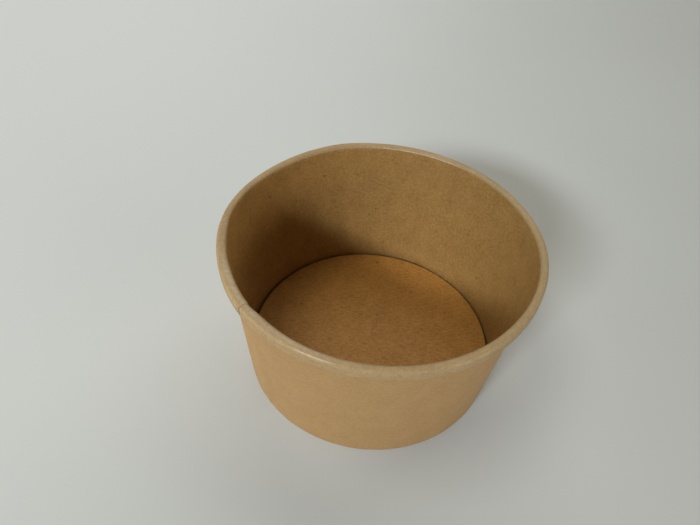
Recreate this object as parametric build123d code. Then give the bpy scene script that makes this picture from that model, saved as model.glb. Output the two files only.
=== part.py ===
from build123d import *
import os
from math import acos, atan2, cos, degrees, hypot, pi, sin

# Paper salad bowl, made of two pieces of coated kraft board.
# The side wall is one blank, wrapped into a cone and sealed to itself along a lap, with its top edge
# rolled outwards into the rim and its bottom edge folded inwards into the foot.
# The base is a disc drawn into a shallow cap, whose skirt is held inside the foot's fold.
# The axis of the bowl is Z, it stands on Z = 0, and sections are drawn as (radius, height).

# Driving sizes, in millimetres and degrees
rim_diameter = 150.0  # across the outside of the rolled rim
base_diameter = 128.0  # across the outside of the foot, at the table
height = 80.0  # table to the top of the rim
paper = 0.45  # thickness of the coated board
rim_width = 4.2  # rolled rim, from the food face to the outside
rim_height = 6.0  # rolled rim, from its top to its underside
base_lift = 6.2  # table to the upper face of the base disc
bend_radius = 0.4  # inside radius where the base disc turns down into its skirt
fold_bevel = 0.3  # how far the folded edge is eased at both sides of the standing ring
lap_width = 8.0  # overlap of the side seam, along the foot
lap_ramp = 6.0  # length over which the overlapping sheet steps outwards, along the foot
lap_foot = 3.0  # height over which the doubled lap thins into the foot's fold
seam_azimuth = 225.0  # place of the seam's inner edge around Z, from +X

# Clearances
seal_gap = 0.05  # heat-sealed faces of the wall, the skirt and the hem
curl_clearance = 0.1  # end of the rolled sheet to the doubled wall at the lap
hem_clearance = 0.3  # top of the folded hem to the bend of the base disc

# Straight chords that a round stretch is drawn with
rim_chords = 3  # quarter turn of the food face over the top of the rim
curl_chords = 2  # any other quarter turn of the curl
bend_chords = 2  # outside of the base disc's bend
ramp_strips = 3  # step of the lap, around the axis

# Sizes that follow
rim_radius = rim_diameter / 2
base_radius = base_diameter / 2
curl_radius = rim_width / 2  # food face over the top of the rim
curl_centre = Vector(rim_radius - curl_radius, height - curl_radius)
fold_depth = paper + 2 * seal_gap  # room for the skirt between the wall and the hem
hem_top = base_lift - paper - bend_radius - hem_clearance
lap_angle = degrees(lap_width / base_radius)
ramp_angle = degrees(lap_ramp / base_radius)


def wall_taper():
    """Slope of the wall from the vertical, so that it is tangent to the curl and meets the foot."""
    across = curl_centre.X - base_radius
    up = curl_centre.Y
    return acos((curl_radius - paper) / hypot(across, up)) - atan2(up, across)


taper = wall_taper()

# The curl's lower turn leaves room for the doubled wall between its end and the wall.
end_gap = 2 * paper + curl_clearance
drop = rim_height - curl_radius
turn_radius = (curl_radius * (1 + cos(taper)) - end_gap + drop * sin(taper)) / (1 + cos(taper) + sin(taper))
turn_centre = Vector(rim_radius - turn_radius, height - rim_height + turn_radius)


def on_wall(depth, level):
    """Point of the wall at a depth behind its food face, at a level above the table."""
    rise = curl_centre.Y - level
    return Vector(curl_centre.X - (curl_radius - depth + rise * sin(taper)) / cos(taper), level)


back_foot = on_wall(paper, fold_bevel)
food_foot = on_wall(0, paper)


def arc(centre, radius, start, end, chords):
    """Points along a round stretch, between two angles from the outward direction."""
    points = []
    for step in range(chords + 1):
        angle = start + (end - start) * step / chords
        points.append(centre + Vector(radius * cos(angle), radius * sin(angle)))
    return points


def sheet_face(depth, over_chords):
    """One face of the sheet round the rolled rim, from the top of the wall to the end of the curl."""
    over = curl_radius - depth
    under = turn_radius - depth
    return [
        *arc(curl_centre, over, pi - taper, pi / 2, over_chords),
        *arc(curl_centre, over, pi / 2, 0, over_chords)[1:],
        *arc(turn_centre, under, 0, -pi / 2, curl_chords),
        *arc(turn_centre, under, -pi / 2, -pi - taper, curl_chords)[1:],
    ]


def lapped_face(depth, over_chords):
    """One face of the sheet where it laps, which leaves the foot's fold over a short height."""
    return [on_wall(depth, lap_foot), *sheet_face(depth, over_chords)]


def wall_outline(food, back, layer_ends=()):
    """Outline of the side wall's section between two faces of the sheet, with the foot."""
    hem_depth = -fold_depth - paper
    foot = [
        back_foot,
        on_wall(paper, 0) - Vector(fold_bevel, 0),
        on_wall(hem_depth, 0) + Vector(fold_bevel, 0),
        on_wall(hem_depth, fold_bevel),
        on_wall(hem_depth, hem_top),
        on_wall(-fold_depth, hem_top),
        on_wall(-fold_depth, paper),
        food_foot,
    ]
    return Plane.XZ * Polyline(*foot, *food, *layer_ends, *reversed(back), close=True)


def cut_edge(foot, near_face, far_face):
    """The cut edge of one layer of the lap, between the two faces of its sheet."""
    return Plane.XZ * make_face(Polyline(foot, *near_face, *reversed(far_face), close=True))


def side_wall():
    """The lapped blank: a single turn of board, a doubled lap, and the step between them."""
    lap_start = Rot(0, 0, seam_azimuth - lap_angle)
    lap_end = Rot(0, 0, seam_azimuth)
    ramp_end = Rot(0, 0, seam_azimuth + ramp_angle)
    food = lapped_face(0, rim_chords)
    middle = lapped_face(paper, curl_chords)
    back = lapped_face(2 * paper, curl_chords)
    single_outline = wall_outline(sheet_face(0, rim_chords), sheet_face(paper, curl_chords))
    single = ramp_end * Shell.revolve(single_outline, 360 - lap_angle - ramp_angle, Axis.Z)
    doubled = lap_start * Shell.revolve(wall_outline(food, back, [middle[-1]]), lap_angle, Axis.Z)
    steps = []
    for strip in range(ramp_strips + 1):
        share = strip / ramp_strips
        shift = paper * (1 - share)
        outline = wall_outline(lapped_face(shift, rim_chords), lapped_face(paper + shift, curl_chords))
        steps.append(Wire((Rot(0, 0, seam_azimuth + share * ramp_angle) * outline).edges()))
    ramp = Shell.make_loft(steps, ruled=True)
    inner_edge = lap_end * cut_edge(food_foot, food, lapped_face(paper, rim_chords))
    outer_edge = lap_start * cut_edge(back_foot, middle, back)
    skin = [single, doubled, ramp, inner_edge, outer_edge]
    return Solid(Shell([face for piece in skin for face in piece.faces()]))


def base_disc():
    """The drawn disc, with its skirt turned down into the foot's fold."""
    skirt_out = -seal_gap
    skirt_in = -seal_gap - paper
    skirt_end = paper + seal_gap
    bend_level = base_lift - paper - bend_radius
    bend_centre = on_wall(skirt_in - bend_radius, bend_level)
    outside = arc(bend_centre, bend_radius + paper, pi / 2, -taper, bend_chords)
    inside = arc(bend_centre, bend_radius, -taper, pi / 2, 1)
    skirt = [on_wall(skirt_out, skirt_end), on_wall(skirt_in, skirt_end)]
    outline = [(0, base_lift), *outside, *skirt, *inside, (0, base_lift - paper)]
    return revolve(Plane.XZ * make_face(Polyline(*outline, close=True)), Axis.Z)


os.makedirs("parts", exist_ok=True)
export_step(side_wall(), "parts/side_wall.step")
export_step(base_disc(), "parts/base_disc.step")
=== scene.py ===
import math
from typing import NamedTuple

import bmesh
import bpy
import numpy as np
from mathutils import Matrix, Vector


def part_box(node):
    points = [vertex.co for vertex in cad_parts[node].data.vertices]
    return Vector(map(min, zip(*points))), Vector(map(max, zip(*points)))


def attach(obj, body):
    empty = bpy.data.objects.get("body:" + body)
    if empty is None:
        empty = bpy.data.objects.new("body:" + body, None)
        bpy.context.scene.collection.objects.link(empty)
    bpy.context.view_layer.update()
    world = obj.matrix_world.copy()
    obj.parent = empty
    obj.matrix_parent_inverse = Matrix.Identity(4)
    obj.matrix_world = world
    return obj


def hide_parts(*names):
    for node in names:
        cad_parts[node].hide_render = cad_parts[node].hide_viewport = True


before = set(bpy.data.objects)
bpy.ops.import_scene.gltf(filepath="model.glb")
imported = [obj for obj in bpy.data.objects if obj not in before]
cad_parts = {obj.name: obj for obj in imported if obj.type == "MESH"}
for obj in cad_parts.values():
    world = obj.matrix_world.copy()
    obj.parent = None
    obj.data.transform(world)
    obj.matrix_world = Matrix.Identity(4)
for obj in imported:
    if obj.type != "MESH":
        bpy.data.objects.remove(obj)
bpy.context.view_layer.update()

# Sizes of the bowl in metres. Heights come from the frame, the rest are the part's own sizes.
MM = 0.001
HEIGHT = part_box("side_wall")[1].z
BASE_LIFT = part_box("base_disc")[1].z
RIM_RADIUS = 75.0 * MM
BASE_RADIUS = 64.0 * MM
PAPER = 0.45 * MM
RIM_WIDTH = 4.2 * MM
RIM_HEIGHT = 6.0 * MM
BEND_RADIUS = 0.4 * MM
SEAL_GAP = 0.05 * MM
HEM_CLEARANCE = 0.3 * MM
CURL_CLEARANCE = 0.1 * MM
LAP_WIDTH = 8.0 * MM
LAP_RAMP = 6.0 * MM
LAP_FOOT = 3.0 * MM
LAYER_GAP = 0.02 * MM
SEAM_AZIMUTH = math.radians(225)

# Sizes that follow
CURL_RADIUS = RIM_WIDTH / 2
CURL_CENTRE = np.array([RIM_RADIUS - CURL_RADIUS, HEIGHT - CURL_RADIUS])
FOLD_DEPTH = PAPER + 2 * SEAL_GAP
HEM_TOP = BASE_LIFT - PAPER - BEND_RADIUS - HEM_CLEARANCE
LAP_ANGLE = LAP_WIDTH / BASE_RADIUS
RAMP_ANGLE = LAP_RAMP / BASE_RADIUS


def wall_taper():
    """Slope of the wall from the vertical."""
    across = CURL_CENTRE[0] - BASE_RADIUS
    up = CURL_CENTRE[1]
    return math.acos((CURL_RADIUS - PAPER) / math.hypot(across, up)) - math.atan2(up, across)


TAPER = wall_taper()
SIN, COS = math.sin(TAPER), math.cos(TAPER)
OUTWARD = np.array([COS, -SIN])
WALL_TOP = CURL_CENTRE - OUTWARD * CURL_RADIUS


def lower_turn_radius():
    """Radius of the curl's lower turn, which ends beside the doubled wall."""
    end_gap = 2 * PAPER + CURL_CLEARANCE
    drop = RIM_HEIGHT - CURL_RADIUS
    return (CURL_RADIUS * (1 + COS) - end_gap + drop * SIN) / (1 + COS + SIN)


TURN_RADIUS = lower_turn_radius()
TURN_CENTRE = np.array([RIM_RADIUS - TURN_RADIUS, HEIGHT - RIM_HEIGHT + TURN_RADIUS])


def on_wall(depth, level):
    """Point (radius, height) of the wall at a depth behind its food face."""
    rise = CURL_CENTRE[1] - level
    return np.array([CURL_CENTRE[0] - (CURL_RADIUS - depth + rise * SIN) / COS, level])


def length_to(level):
    """Length along the sheet from the hem's top to a level of the wall's food face."""
    return (HEM_TOP - PAPER + FOLD_DEPTH + level - PAPER) / COS


def direction(angle):
    """Unit vector at an angle from the outward direction."""
    return np.array([math.cos(angle), math.sin(angle)])


def spread(start, end, count):
    """Evenly spaced values without the first, so that stretches join without doubled points."""
    return np.linspace(start, end, count + 1)[1:]


def smooth(value):
    """Smooth step from 0 to 1."""
    clipped = np.clip(value, 0, 1)
    return clipped**2 * (3 - 2 * clipped)


# Unevenness of the real bowl

# Humps around the bowl: azimuth and width in degrees, and height in millimetres
BULGES_MM = (
    (6, 17, 0.65),
    (76, 26, -0.45),
    (113, 7, 0.45),
    (145, 22, -1.35),
    (203, 14, -0.45),
    (224, 6, 0.25),
    (328, 18, -0.45),
)
WIDER_ROLL_MM = (
    (165, 22, -0.5),
    (190, 8, 0.5),
    (210, 14, 0.65),
    (232, 14, 0.75),
    (337, 22, -0.35),
)

# Creases pressed along the rim. Their humps give how strong they are, on top of the least strength.
OUTER_CREASE = ((212, 28, -0.5), (258, 14, 1.0), (280, 20, 1.0))
OUTER_CREASE_LEAST = 0.3
OUTER_CREASE_ANGLE = math.radians(47)
OUTER_CREASE_SOFT = math.radians(4.5)
INNER_CREASE = ((40, 14, 0.4), (78, 26, 1.0), (188, 32, 0.8))
INNER_CREASE_LEAST = 0.1
INNER_CREASE_ANGLE = math.radians(140)
INNER_CREASE_SOFT = math.radians(11)
CREASE_SPAN = math.radians(30)
CREASE_SWAY = math.radians(2)
CREASE_WAVES = (11, 4)  # of the sway, around the bowl


def humps(azimuth, shapes):
    """Sum of smooth humps around the bowl."""
    total = np.zeros_like(azimuth)
    for centre_deg, width_deg, height in shapes:
        gap = (azimuth - math.radians(centre_deg) + math.pi) % (2 * math.pi) - math.pi
        total += height * np.exp(-((gap / math.radians(width_deg)) ** 2))
    return total


def crease(angle, azimuth, soft, strength):
    """How far a crease between two flats stands out of the rim's top turn, which is round."""
    many, few = CREASE_WAVES
    sway = CREASE_SWAY * np.sin(many * azimuth) * np.sin(few * azimuth)
    beside = np.minimum(np.hypot(angle - sway, soft), CREASE_SPAN)
    return np.clip(strength, 0, 1) * CURL_RADIUS * (1 / np.cos(CREASE_SPAN - beside) - 1)


def creases(angle, azimuth):
    """How far both creases along the rim stand out."""
    outer = OUTER_CREASE_LEAST + humps(azimuth, OUTER_CREASE)
    inner = INNER_CREASE_LEAST + humps(azimuth, INNER_CREASE)
    rise = crease(angle - OUTER_CREASE_ANGLE, azimuth, OUTER_CREASE_SOFT, outer)
    return rise + crease(angle - INNER_CREASE_ANGLE, azimuth, INNER_CREASE_SOFT, inner)


# The side wall


class Station(NamedTuple):
    """One line round the sheet's food face."""

    place: np.ndarray  # radius and height
    into: np.ndarray  # direction into the sheet
    turn: float = None  # angle on the rim's top turn
    inward: float = 0.0  # share of the wider roll
    pressed: float = 1.0  # share of the lap's step


# Share of the lap's step that the rim and the foot leave, and the turn over which the rim presses it
LAP_PRESSED = 0.45
LAP_PRESS_TURN = math.radians(60)
FOOT_PRESSED = 0.05

FOLD_LEVEL = PAPER + FOOT_PRESSED * (PAPER + LAYER_GAP)
ROLL_FADE = 14.0 * MM
HEM_ROWS, FOLD_ROWS, FOOT_ROWS, WALL_ROWS = 5, 5, 4, 22
TOP_TURN_ROWS, BAND_ROWS, LOWER_TURN_ROWS = 42, 4, 14


def foot_stations():
    """The food face from the hem's top down, round the fold and up to the wall."""
    levels = np.linspace(HEM_TOP, FOLD_LEVEL, HEM_ROWS + 1)
    hem_fold = on_wall(-FOLD_DEPTH, FOLD_LEVEL)
    wall_fold = on_wall(0, FOLD_LEVEL)
    rows = [Station(on_wall(-FOLD_DEPTH, level), -OUTWARD, pressed=FOOT_PRESSED) for level in levels]
    for angle in spread(-TAPER, math.pi / 2, FOLD_ROWS):
        rows.append(Station(hem_fold, -direction(angle), pressed=FOOT_PRESSED))
    for angle in np.linspace(math.pi / 2, math.pi - TAPER, FOLD_ROWS + 1):
        rows.append(Station(wall_fold, -direction(angle), pressed=FOOT_PRESSED))
    for level in spread(FOLD_LEVEL, LAP_FOOT, FOOT_ROWS):
        opened = (level - FOLD_LEVEL) / (LAP_FOOT - FOLD_LEVEL)
        rows.append(Station(on_wall(0, level), OUTWARD, pressed=max(FOOT_PRESSED, opened)))
    return rows


def wall_stations():
    """The food face up the wall, whose top follows the wider roll."""
    rows = []
    for level in spread(LAP_FOOT, WALL_TOP[1], WALL_ROWS):
        near_rim = max(0.0, 1 - (WALL_TOP[1] - level) / ROLL_FADE)
        rows.append(Station(on_wall(0, level), OUTWARD, inward=near_rim**2))
    return rows


def rim_stations():
    """The food face over the rim to the end of the curl."""
    rows = []
    for angle in spread(math.pi - TAPER, 0, TOP_TURN_ROWS):
        place = CURL_CENTRE + direction(angle) * CURL_RADIUS
        inward = max(0.0, -math.cos(angle))
        pressed = 1 - (1 - LAP_PRESSED) * float(smooth((math.pi - angle) / LAP_PRESS_TURN))
        rows.append(Station(place, -direction(angle), angle, inward, pressed))
    for level in spread(CURL_CENTRE[1], TURN_CENTRE[1], BAND_ROWS):
        rows.append(Station(np.array([RIM_RADIUS, level]), -direction(0), pressed=LAP_PRESSED))
    for angle in spread(0, -math.pi - TAPER, LOWER_TURN_ROWS):
        place = TURN_CENTRE + direction(angle) * TURN_RADIUS
        rows.append(Station(place, -direction(angle), pressed=LAP_PRESSED))
    return rows


WELD_DISTANCE = 1e-7
SHARP_ANGLE = math.radians(40)


def weld(mesh):
    """Join points that lie on each other, as they do inside a sharp fold."""
    work = bmesh.new()
    work.from_mesh(mesh)
    bmesh.ops.remove_doubles(work, verts=work.verts, dist=WELD_DISTANCE)
    work.to_mesh(mesh)
    work.free()


def new_object(name, vertices, faces, uv, materials, slots):
    """A smooth mesh object with sharp folds, its materials by face and a map in metres."""
    mesh = bpy.data.meshes.new(name)
    mesh.from_pydata(vertices.tolist(), [], faces)
    for material in materials:
        mesh.materials.append(material)
    mesh.polygons.foreach_set("material_index", np.asarray(slots, np.int32))
    layer = mesh.uv_layers.new(name="sheet")
    corners = np.empty(len(mesh.loops), np.int32)
    mesh.loops.foreach_get("vertex_index", corners)
    layer.data.foreach_set("uv", uv[corners].ravel().astype(np.float32))
    weld(mesh)
    mesh.shade_smooth()
    mesh.set_sharp_from_angle(angle=SHARP_ANGLE)
    mesh.update()
    piece = bpy.data.objects.new(name, mesh)
    bpy.context.scene.collection.objects.link(piece)
    return piece


class Skin:
    """Faces of a mesh and the material slot of each."""

    def __init__(self):
        self.faces = []
        self.slots = []

    def add(self, corners, slot):
        """Add faces from one array of vertex numbers for each corner."""
        faces = np.stack(corners, axis=-1).reshape(-1, len(corners)).tolist()
        self.faces.extend(faces)
        self.slots.extend([slot] * len(faces))


FOOD, BACK, EDGE = 0, 1, 2
WALL_COLUMNS = 460
WOBBLE_POWER = 1.5


def sheet_grid(stations, azimuths):
    """Points and map of the sheet's food face and back, by side, station and column."""
    step_out = (PAPER + LAYER_GAP) * (1 - smooth((azimuths - SEAM_AZIMUTH) / RAMP_ANGLE))
    wobble = humps(azimuths, BULGES_MM) * MM
    roll = humps(azimuths, WIDER_ROLL_MM) * MM
    points = np.zeros((2, len(stations), len(azimuths), 3))
    uv = np.zeros((2, len(stations), len(azimuths), 2))
    length = 0.0
    for row, station in enumerate(stations):
        if row:
            length += float(np.hypot(*(station.place - stations[row - 1].place)))
        raised = 0.0 if station.turn is None else creases(station.turn, azimuths)
        uneven = wobble * (station.place[1] / HEIGHT) ** WOBBLE_POWER - roll * station.inward
        for side, thickness in enumerate((0.0, PAPER)):
            depth = step_out * station.pressed - raised + thickness
            radius = station.place[0] + station.into[0] * depth + uneven
            points[side, row, :, 0] = radius * np.cos(azimuths)
            points[side, row, :, 1] = radius * np.sin(azimuths)
            points[side, row, :, 2] = station.place[1] + station.into[1] * depth
            uv[side, row, :, 0] = (azimuths - SEAM_AZIMUTH) * RIM_RADIUS
            uv[side, row, :, 1] = length
    return points, uv


def make_side_wall(materials):
    """The blank as one sheet, wound once round and over its own lap."""
    azimuths = np.linspace(SEAM_AZIMUTH - LAP_ANGLE, SEAM_AZIMUTH + 2 * math.pi, WALL_COLUMNS)
    stations = foot_stations() + wall_stations() + rim_stations()
    points, uv = sheet_grid(stations, azimuths)
    food, back = np.arange(points[..., 0].size).reshape(points.shape[:3])
    skin = Skin()
    skin.add((food[:-1, :-1], food[1:, :-1], food[1:, 1:], food[:-1, 1:]), FOOD)
    skin.add((back[:-1, :-1], back[:-1, 1:], back[1:, 1:], back[1:, :-1]), BACK)
    skin.add((food[0, :-1], food[0, 1:], back[0, 1:], back[0, :-1]), EDGE)
    skin.add((food[-1, :-1], back[-1, :-1], back[-1, 1:], food[-1, 1:]), EDGE)
    skin.add((food[:-1, 0], back[:-1, 0], back[1:, 0], food[1:, 0]), EDGE)
    skin.add((food[:-1, -1], food[1:, -1], back[1:, -1], back[:-1, -1]), EDGE)
    vertices = points.reshape(-1, 3)
    places = uv.reshape(-1, 2)
    piece = new_object("bowl_side_wall", vertices, skin.faces, places, materials, skin.slots)
    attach(piece, "root")
    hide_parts("side_wall")


# The base disc

DISC_COLUMNS = 300
DISC_DISH = 0.25 * MM
DISC_MAP_EDGE = 63.0 * MM  # radius on the map at which the bend begins
BEND_TIGHT = 0.55 * MM
BEND_WIDE = 1.15 * MM
BEND_WIDENS = np.radians((28, 85))
BEND_TIGHTENS = np.radians((200, 290))
SKIRT_OUT = -SEAL_GAP
SKIRT_IN = -SEAL_GAP - PAPER
SKIRT_END = PAPER + SEAL_GAP
DISC_ROWS, BEND_ROWS, SKIRT_ROWS = 20, 10, 4


def bend_radius(azimuth):
    """Inside radius of the disc's bend, which is wider at the far left."""
    widens = smooth((azimuth - BEND_WIDENS[0]) / np.ptp(BEND_WIDENS))
    tightens = smooth((azimuth - BEND_TIGHTENS[0]) / np.ptp(BEND_TIGHTENS))
    return BEND_TIGHT + (BEND_WIDE - BEND_TIGHT) * widens * (1 - tightens)


def cap_face(bend, thickness):
    """One face of the drawn disc, as rows of radius, height and radius on the map, from the middle out."""
    depth = SKIRT_OUT - thickness
    centre = on_wall(SKIRT_IN - bend, BASE_LIFT - PAPER - bend)
    outer = bend + PAPER - thickness
    rows = []
    for share in spread(0, 1, DISC_ROWS):
        level = BASE_LIFT - thickness - DISC_DISH * (1 - share**2)
        rows.append((centre[0] * share, level, DISC_MAP_EDGE * share))
    for angle in spread(math.pi / 2, -TAPER, BEND_ROWS):
        place = centre + direction(angle) * outer
        rows.append((*place, DISC_MAP_EDGE + outer * (math.pi / 2 - angle)))
    bend_end = DISC_MAP_EDGE + outer * (math.pi / 2 + TAPER)
    for level in spread(centre[1], SKIRT_END, SKIRT_ROWS):
        rows.append((*on_wall(depth, level), bend_end + centre[1] - level))
    return rows


def make_base_disc(materials):
    """The drawn base: the disc, its bend, and the skirt in the foot's fold."""
    azimuths = np.linspace(0, 2 * math.pi, DISC_COLUMNS, endpoint=False)
    sections = [cap_face(bend, 0.0) + cap_face(bend, PAPER)[::-1] for bend in bend_radius(azimuths)]
    rows = np.array(sections).swapaxes(0, 1)
    ring = np.stack([np.cos(azimuths), np.sin(azimuths)], axis=-1)
    points = np.concatenate([rows[..., :1] * ring, rows[..., 1:2]], axis=-1).reshape(-1, 3)
    uv = (rows[..., 2:] * ring).reshape(-1, 2)
    middles = [[0, 0, BASE_LIFT - DISC_DISH], [0, 0, BASE_LIFT - DISC_DISH - PAPER]]
    near = np.arange(len(points)).reshape(rows.shape[:2])
    after = np.roll(near, -1, axis=1)
    top_middle = np.full(DISC_COLUMNS, len(points))
    cut = len(rows) // 2 - 1
    bands = ((slice(0, cut), FOOD), (slice(cut, cut + 1), EDGE), (slice(cut + 1, None), BACK))
    skin = Skin()
    for band, slot in bands:
        skin.add((near[:-1][band], near[1:][band], after[1:][band], after[:-1][band]), slot)
    skin.add((top_middle, near[0], after[0]), FOOD)
    skin.add((top_middle + 1, after[-1], near[-1]), BACK)
    vertices = np.concatenate([points, middles])
    places = np.concatenate([uv, np.zeros((2, 2))])
    piece = new_object("bowl_base_disc", vertices, skin.faces, places, materials, skin.slots)
    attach(piece, "root")
    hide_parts("base_disc")


# Materials


def srgb(red, green, blue):
    """A colour written as screen values from 0 to 255, as the linear colour that shaders take."""
    linear = []
    for value in (red / 255, green / 255, blue / 255):
        linear.append(value / 12.92 if value <= 0.04045 else ((value + 0.055) / 1.055) ** 2.4)
    return (*linear, 1.0)


def darker(colour, share):
    """A share of a linear colour."""
    return (*[value * share for value in colour[:3]], 1.0)


class Graph:
    """Short names for building the nodes of a material or a world."""

    def __init__(self, owner):
        owner.use_nodes = True
        self.tree = owner.node_tree

    def put(self, socket, value):
        if isinstance(value, bpy.types.NodeSocket):
            self.tree.links.new(value, socket)
        else:
            socket.default_value = value

    def add(self, kind, settings, inputs):
        node = self.tree.nodes.new("ShaderNode" + kind)
        for key, value in settings.items():
            setattr(node, key, value)
        for key, value in inputs.items():
            self.put(node.inputs[key], value)
        return node

    def shade(self, node, values):
        for key, value in values.items():
            self.put(self.tree.nodes[node].inputs[key], value)

    def math(self, operation, *values):
        return self.add("Math", {"operation": operation}, dict(enumerate(values))).outputs[0]

    def mix(self, share, low, high, blend="MIX"):
        inputs = {"Factor": share, "A": low, "B": high}
        node = self.add("Mix", {"data_type": "RGBA", "blend_type": blend}, {})
        for socket in node.inputs:
            if socket.enabled and socket.name in inputs:
                self.put(socket, inputs[socket.name])
        return next(socket for socket in node.outputs if socket.enabled)

    def ramp(self, value, low, high):
        inputs = {"Value": value, "From Min": low, "From Max": high}
        return self.add("MapRange", {"interpolation_type": "SMOOTHSTEP"}, inputs).outputs["Result"]

    def stretched(self, place, scale, turn=0.0):
        inputs = {"Vector": place, "Rotation": (0, 0, turn), "Scale": (*scale, 1)}
        return self.add("Mapping", {}, inputs).outputs["Vector"]

    def noise(self, place, grain):
        inputs = {
            "Vector": self.stretched(place, grain.scale, grain.turn),
            "Scale": 1.0,
            "Detail": grain.detail,
            "Roughness": grain.roughness,
        }
        return self.add("TexNoise", {"noise_dimensions": "2D"}, inputs).outputs["Fac"]

    def length(self, vector):
        return self.add("VectorMath", {"operation": "LENGTH"}, {0: vector}).outputs["Value"]

    def apart(self, place, point):
        inputs = {0: place, 1: (*point, 0)}
        return self.add("VectorMath", {"operation": "DISTANCE"}, inputs).outputs["Value"]


class Grain(NamedTuple):
    """A layer of noise on a map."""

    scale: tuple  # cells in each unit of the map
    detail: float
    roughness: float
    weight: float
    turn: float = 0.0


class Board(NamedTuple):
    """One face of the kraft board."""

    name: str
    pale: tuple
    deep: tuple
    roughness: float
    gloss: float
    streak: float  # share of the mottling that is fibres along the sheet
    bare: float  # share of the speck cells that stay empty


# Layers of the mottling. The fibres take the board's streak, and the others share the rest.
FIBRES = Grain((0.26, 2.0), 3.0, 0.6, 1.0)
CROSSED_FIBRES = Grain((0.40, 1.8), 2.0, 0.6, 0.20, turn=1.1)
CLOUD = Grain((0.10, 0.10), 3.0, 0.55, 0.20)
FLOCK = Grain((0.55, 0.55), 3.0, 0.6, 0.28)
FINE = Grain((1.3, 1.3), 2.0, 0.6, 0.32)
TONE_LOW, TONE_HIGH = 0.38, 0.62
SPECK_CELLS = 0.16
SPECK_SIZE = 0.10
SPECK_SHARE = 0.75
SPECK_DARK = 0.35
SHEEN_SWING = 0.12
TOOTH_DEPTH = 0.05 * MM
TOOTH_STRENGTH = 0.35


def mottling(graph, grid, streak):
    """Uneven tone of the board from 0 to 1, and the relief of its fibres, on a map in millimetres."""
    fibres = graph.noise(grid, FIBRES)
    total = graph.math("MULTIPLY", fibres, streak * FIBRES.weight)
    layers = {}
    for grain in (CLOUD, FLOCK, CROSSED_FIBRES, FINE):
        layers[grain] = graph.noise(grid, grain)
        total = graph.math("MULTIPLY_ADD", layers[grain], (1 - streak) * grain.weight, total)
    relief = graph.math("ADD", graph.math("ADD", fibres, layers[CROSSED_FIBRES]), layers[FINE])
    limits = {"Value": total, "From Min": TONE_LOW, "From Max": TONE_HIGH}
    return graph.add("MapRange", {}, limits).outputs["Result"], relief


def specks(graph, grid, bare):
    """Small dark bark specks, one at most in each cell of the map."""
    inputs = {"Vector": grid, "Scale": SPECK_CELLS}
    cells = graph.add("TexVoronoi", {"voronoi_dimensions": "2D"}, inputs).outputs
    chance = graph.add("SeparateColor", {}, {"Color": cells["Color"]}).outputs[0]
    size = graph.math("MULTIPLY", graph.math("SUBTRACT", chance, bare), SPECK_SIZE)
    return graph.math("LESS_THAN", cells["Distance"], size)


def kraft(board, finish=None):
    """Kraft board, with a finish of its own where one is given."""
    material = bpy.data.materials.new(board.name)
    graph = Graph(material)
    place = graph.add("UVMap", {"uv_map": "sheet"}, {}).outputs["UV"]
    grid = graph.stretched(place, (1 / MM, 1 / MM))
    tone, relief = mottling(graph, grid, board.streak)
    paper = graph.mix(tone, board.deep, board.pale)
    speckled = graph.math("MULTIPLY", specks(graph, grid, board.bare), SPECK_SHARE)
    colour = graph.mix(speckled, paper, darker(board.deep, SPECK_DARK))
    roughness = graph.math("MULTIPLY_ADD", tone, -SHEEN_SWING, board.roughness + SHEEN_SWING / 2)
    look = {"tone": tone, "colour": colour, "roughness": roughness}
    if finish:
        finish(graph, place, look)
    tooth = {"Height": relief, "Strength": TOOTH_STRENGTH, "Distance": TOOTH_DEPTH}
    bump = graph.add("Bump", {}, tooth)
    graph.shade("Principled BSDF", {
        "Base Color": look["colour"],
        "Roughness": look["roughness"],
        "Specular IOR Level": board.gloss,
        "Normal": bump.outputs["Normal"],
    })
    return material


RIM_PALE = srgb(163, 140, 102)
RIM_DEEP = srgb(140, 117, 83)
RIM_STARTS = length_to(WALL_TOP[1])
RIM_BLEND = 0.6 * MM
RIM_ROUGHER = 0.14
# Colour of the pale lines on the rim: worn coating, and painted highlight and painted light
WORN_AND_LIT_PALE = srgb(201, 189, 168)
WORN_AND_LIT_LEAST, WORN_AND_LIT_SWING = 0.3, 0.5

# Painted shade: a slightly darker stretch at the right, where less light falls. Azimuths in degrees between
# which it fades in, and fades out
PAINTED_SHADE = (0.89, 0.90, 0.88, 1.0)
PAINTED_SHADE_RIM = ((297, 317), (42, 72))
PAINTED_SHADE_WALL = ((350, 20), (42, 72))
PAINTED_SHADE_WALL_SHARE = 0.5

FLECK = srgb(70, 46, 22)
FLECK_SHARE = 0.95
FLECK_SOFT = (0.7, 1.8)


class WearAndPaintedLight(NamedTuple):
    """A pale line along a stretch of the rim, which is partly real wear and partly painted highlight and
    painted light.
    """

    angle: float  # on the rim's top turn
    width: float
    fades_in: tuple  # azimuths in degrees
    fades_out: tuple
    share: float = 1.0


WEAR_AND_PAINTED_LIGHT_LINES = (
    # wear along the outer crease, with a painted highlight of the window on it
    WearAndPaintedLight(OUTER_CREASE_ANGLE, 0.6 * MM, (246, 252), (254, 264)),
    # a painted highlight along the inner edge of the far rim
    WearAndPaintedLight(math.radians(153), 0.4 * MM, (56, 66), (91, 104)),
    # painted light: the inner half of the near-left rim made paler, where more light falls on it
    WearAndPaintedLight(math.radians(108), 1.7 * MM, (188, 214), (246, 275), 0.6),
)

# Larger flecks on the wall: azimuth in degrees, height and radius in millimetres
WALL_FLECKS = (
    (121, 64, 0.42),
    (105, 62, 0.34),
    (60, 57, 0.32),
    (151, 66, 0.40),
    (136, 54, 0.36),
    (95, 39, 0.30),
    (98, 35, 0.34),
    (33, 24, 0.40),
)
# Larger flecks on the disc: place and radius in millimetres
DISC_FLECKS = (
    (-1, 57, 0.45),
    (28, 9, 0.30),
    (-41, 16, 0.30),
)


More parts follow.
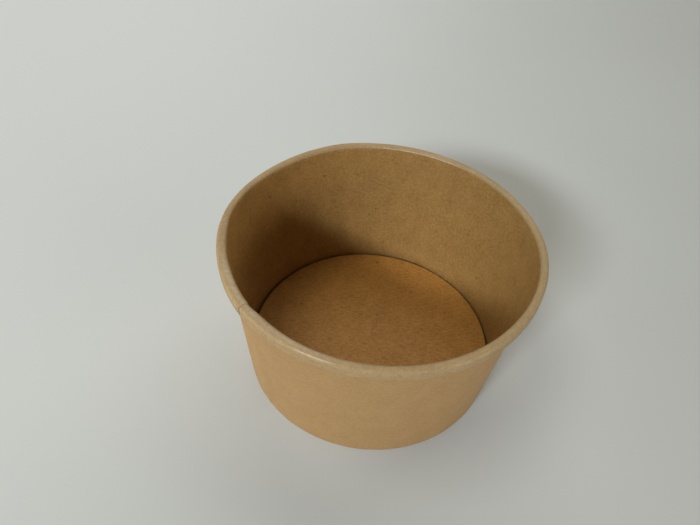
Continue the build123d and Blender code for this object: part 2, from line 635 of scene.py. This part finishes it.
def flecked(graph, place, colour, flecks):
    """The colour with a dark fleck at each given place."""
    for *point, radius in flecks:
        outside = graph.ramp(graph.apart(place, point), *[radius * share for share in FLECK_SOFT])
        inside = graph.math("SUBTRACT", 1.0, outside)
        colour = graph.mix(graph.math("MULTIPLY", inside, FLECK_SHARE), colour, FLECK)
    return colour


def around_to(azimuth_deg):
    """Length around the sheet from the seam to an azimuth."""
    return (math.radians(azimuth_deg) - SEAM_AZIMUTH) % (2 * math.pi) * RIM_RADIUS


def stretch(graph, around, fades_in, fades_out):
    """Share of a stretch around the bowl, which may pass over the seam."""
    begins = [around_to(azimuth_deg) for azimuth_deg in fades_in]
    ends = [around_to(azimuth_deg) for azimuth_deg in fades_out]
    at_seam = 1.0 if begins[0] > ends[0] else 0.0
    begun = graph.math("ADD", graph.ramp(around, *begins), at_seam)
    return graph.math("SUBTRACT", begun, graph.ramp(around, *ends))


def worn_and_lit_line(graph, around, along, pale_line):
    """Share of a pale line beside where it runs on the rim; the lines are partly wear and partly painted
    highlight and painted light.
    """
    line = RIM_STARTS + CURL_RADIUS * (math.pi - TAPER - pale_line.angle)
    beside = graph.math("ABSOLUTE", graph.math("SUBTRACT", along, line))
    near = graph.math("MULTIPLY_ADD", graph.ramp(beside, 0.0, pale_line.width), -pale_line.share, pale_line.share)
    return graph.math("MULTIPLY", near, stretch(graph, around, pale_line.fades_in, pale_line.fades_out))


def rim_colour(graph, around, along, tone):
    """Colour of the rim's board, with patchy pale lines of wear, painted highlight and painted light."""
    pale_line = 0.0
    for line in WEAR_AND_PAINTED_LIGHT_LINES:
        pale_line = graph.math("MAXIMUM", worn_and_lit_line(graph, around, along, line), pale_line)
    patchy = graph.math("MULTIPLY", pale_line, graph.math("MULTIPLY_ADD", tone, WORN_AND_LIT_SWING, WORN_AND_LIT_LEAST))
    return graph.mix(patchy, graph.mix(tone, RIM_DEEP, RIM_PALE), WORN_AND_LIT_PALE)


def painted_shade(graph, around, on_rim):
    """Share of the painted shade, which is weaker on the wall than on the rim."""
    rim = graph.math("MULTIPLY", stretch(graph, around, *PAINTED_SHADE_RIM), on_rim)
    wall = graph.math("MULTIPLY", stretch(graph, around, *PAINTED_SHADE_WALL), PAINTED_SHADE_WALL_SHARE)
    return graph.math("MAXIMUM", rim, wall)


def food_finish(graph, place, look):
    """Flecks on the wall, the paler and rougher board of the rim with its pale lines of wear and painted
    highlight, and the painted shade of both at the right.
    """
    flecks = []
    for azimuth_deg, level, radius in WALL_FLECKS:
        flecks.append((around_to(azimuth_deg), length_to(level * MM), radius * MM))
    around, along = graph.add("SeparateXYZ", {}, {"Vector": place}).outputs[:2]
    on_rim = graph.ramp(along, RIM_STARTS, RIM_STARTS + RIM_BLEND)
    rim = rim_colour(graph, around, along, look["tone"])
    colour = graph.mix(on_rim, flecked(graph, place, look["colour"], flecks), rim)
    # painted shade darkens the right of the rim and the wall
    look["colour"] = graph.mix(painted_shade(graph, around, on_rim), colour, PAINTED_SHADE, blend="MULTIPLY")
    look["roughness"] = graph.math("MULTIPLY_ADD", on_rim, RIM_ROUGHER, look["roughness"])


# Painted shade: a dark line along the disc's bend, where the groove beside the wall is in shade
GROOVE_SHADE_BLEND = 0.5 * MM
GROOVE_SHADE_SPAN = (DISC_MAP_EDGE - GROOVE_SHADE_BLEND, DISC_MAP_EDGE + GROOVE_SHADE_BLEND)
GROOVE_SHADE = srgb(40, 24, 10)
GROOVE_SHADE_SHARE = 0.88


def disc_finish(graph, place, look):
    """Flecks on the disc, and painted shade along its bend."""
    flecks = [tuple(value * MM for value in fleck) for fleck in DISC_FLECKS]
    groove_shade = graph.math("MULTIPLY", graph.ramp(graph.length(place), *GROOVE_SHADE_SPAN), GROOVE_SHADE_SHARE)
    look["colour"] = graph.mix(groove_shade, flecked(graph, place, look["colour"], flecks), GROOVE_SHADE)


FOOD_BOARD = Board(
    "kraft_food_face", srgb(172, 138, 85), srgb(135, 104, 58),
    roughness=0.42, gloss=0.42, streak=0.16, bare=0.5,
)
DISC_BOARD = Board(
    "kraft_disc_face", srgb(193, 144, 75), srgb(147, 102, 45),
    roughness=0.48, gloss=0.32, streak=0.38, bare=0.6,
)
OUTER_BOARD = Board(
    "kraft_outside", srgb(165, 135, 93), srgb(148, 118, 78),
    roughness=0.72, gloss=0.3, streak=0.20, bare=0.75,
)
CUT_BOARD = Board(
    "kraft_cut_edge", srgb(176, 144, 104), srgb(132, 104, 70),
    roughness=0.9, gloss=0.2, streak=0.5, bare=1.0,
)


def make_bowl():
    """Both pieces of the bowl, each with the materials of its food face, its back and its cut edges."""
    outside = kraft(OUTER_BOARD)
    cut_edge = kraft(CUT_BOARD)
    make_side_wall([kraft(FOOD_BOARD, food_finish), outside, cut_edge])
    make_base_disc([kraft(DISC_BOARD, disc_finish), outside, cut_edge])


# Floor, light and camera

# The floor's colour holds painted light: brighter to the left and darker to the right, as the room's light
# falls off away from the window
FLOOR_SHADED = srgb(168, 173, 175)
FLOOR_LIT = srgb(213, 220, 225)
FLOOR_FALLOFF_SPAN = (-0.4, 0.4)
FLOOR_FALLOFF_SLANT = 0.1
FLOOR_CLOUD = Grain((3.0, 3.0), 4.0, 0.5, 0.1)
FLOOR_RADIUS = 6.0
FLOOR_CORNERS = 96


def make_floor():
    """A round pale floor with painted light, brighter at the left and darker at the right, wide enough for
    every view.
    """
    bpy.ops.mesh.primitive_circle_add(vertices=FLOOR_CORNERS, radius=FLOOR_RADIUS, fill_type="NGON")
    floor = bpy.context.object
    floor.name = "floor"
    material = bpy.data.materials.new("pale_floor_painted_falloff")
    graph = Graph(material)
    place = graph.add("TexCoord", {}, {}).outputs["Object"]
    across, back = graph.add("SeparateXYZ", {}, {"Vector": place}).outputs[:2]
    painted_falloff = graph.math("SUBTRACT", graph.math("MULTIPLY", back, FLOOR_FALLOFF_SLANT), across)
    uneven = graph.math("MULTIPLY_ADD", graph.noise(place, FLOOR_CLOUD), FLOOR_CLOUD.weight, painted_falloff)
    colour = graph.mix(graph.ramp(uneven, *FLOOR_FALLOFF_SPAN), FLOOR_SHADED, FLOOR_LIT)
    graph.shade("Principled BSDF", {"Base Color": colour, "Roughness": 1.0, "Specular IOR Level": 0.0})
    floor.data.materials.append(material)


class Lamp(NamedTuple):
    """A soft lamp that looks at the bowl. Its place and its size are angles seen from there, in degrees."""

    name: str
    azimuth: float
    elevation: float
    width: float
    height: float
    level: float  # at 1, a white surface that faces the lamp renders white
    colour: tuple


LAMP_DISTANCE = 20.0
DAYLIGHT = (1.0, 1.0, 0.98)
SOFT_WHITE = (1.0, 0.95, 0.81)
WARM = (1.0, 0.95, 0.83)
WARMER = (1.0, 0.89, 0.73)
WARMEST = (1.0, 0.86, 0.62)
LAMPS = (
    Lamp("window", 244, 30.5, 17, 6.5, 0.70, DAYLIGHT),
    Lamp("ceiling", 195, 66, 28, 21, 0.26, SOFT_WHITE),
    Lamp("back_ceiling", 80, 58, 56, 24, 0.20, SOFT_WHITE),
    Lamp("back_panel", 80, 34, 65, 16, 0.33, WARMER),
    Lamp("left_panel", 195, 0.3, 39, 0.9, 0.43, WARM),
    Lamp("right_panel", 335, 11, 39, 11, 0.22, WARMEST),
    Lamp("right_low", 330, 0.5, 39, 2.5, 0.27, DAYLIGHT),
)


def add_lamp(lamp):
    """An area lamp far away, turned to the bowl."""
    data = bpy.data.lights.new(lamp.name, "AREA")
    data.shape = "RECTANGLE"
    data.size = 2 * LAMP_DISTANCE * math.tan(math.radians(lamp.width / 2))
    data.size_y = 2 * LAMP_DISTANCE * math.tan(math.radians(lamp.height / 2))
    data.energy = lamp.level * (math.pi * LAMP_DISTANCE) ** 2
    data.color = lamp.colour
    around = math.radians(lamp.azimuth)
    up = math.radians(lamp.elevation)
    flat = math.cos(up)
    towards = Vector((math.cos(around) * flat, math.sin(around) * flat, math.sin(up)))
    piece = bpy.data.objects.new(lamp.name, data)
    piece.location = towards * LAMP_DISTANCE + Vector((0, 0, HEIGHT / 2))
    piece.rotation_euler = towards.to_track_quat("Z", "Y").to_euler()
    bpy.context.scene.collection.objects.link(piece)


BACKDROP_PALE = srgb(196, 198, 194)
BACKDROP_DARK = srgb(20, 20, 20)


def make_backdrop():
    """A room that looks as pale as the floor, and adds next to no light of its own."""
    room = bpy.data.worlds.new("room")
    graph = Graph(room)
    rays = graph.add("LightPath", {}, {}).outputs
    seen = graph.math("MAXIMUM", rays["Is Camera Ray"], rays["Is Glossy Ray"])
    seen = graph.math("MAXIMUM", seen, rays["Is Transmission Ray"])
    graph.shade("Background", {"Color": graph.mix(seen, BACKDROP_DARK, BACKDROP_PALE)})
    bpy.context.scene.world = room


def make_light():
    """The backdrop and all the lamps."""
    make_backdrop()
    for lamp in LAMPS:
        add_lamp(lamp)


# The photograph's camera: its place, its angles, and its focal length in pixels of a 700 pixel wide image
IMAGE_WIDTH = 700
FOCAL_PIXELS = 592.8
CAMERA_PLACE = Vector((0, -201.06 * MM, 261.4 * MM))
CAMERA_YAW = math.radians(-3.94)
CAMERA_PITCH = math.radians(45.05)
CAMERA_ROLL = math.radians(-4.52)
SENSOR_WIDTH_MM = 36
CLIP_START = 0.01


def make_camera():
    """A camera that looks along Y, pans by yaw, looks down by pitch and then rolls."""
    data = bpy.data.cameras.new("camera")
    data.sensor_width = SENSOR_WIDTH_MM
    data.lens = FOCAL_PIXELS * SENSOR_WIDTH_MM / IMAGE_WIDTH
    data.clip_start = CLIP_START
    camera = bpy.data.objects.new("camera", data)
    pan = Matrix.Rotation(-CAMERA_YAW, 3, "Z")
    tilt = Matrix.Rotation(math.pi / 2 - CAMERA_PITCH, 3, "X")
    roll = Matrix.Rotation(-CAMERA_ROLL, 3, "Z")
    camera.matrix_world = Matrix.Translation(CAMERA_PLACE) @ (pan @ tilt @ roll).to_4x4()
    bpy.context.scene.collection.objects.link(camera)
    bpy.context.scene.camera = camera


make_bowl()
make_floor()
make_light()
make_camera()
bpy.context.scene.view_settings.view_transform = "Standard"
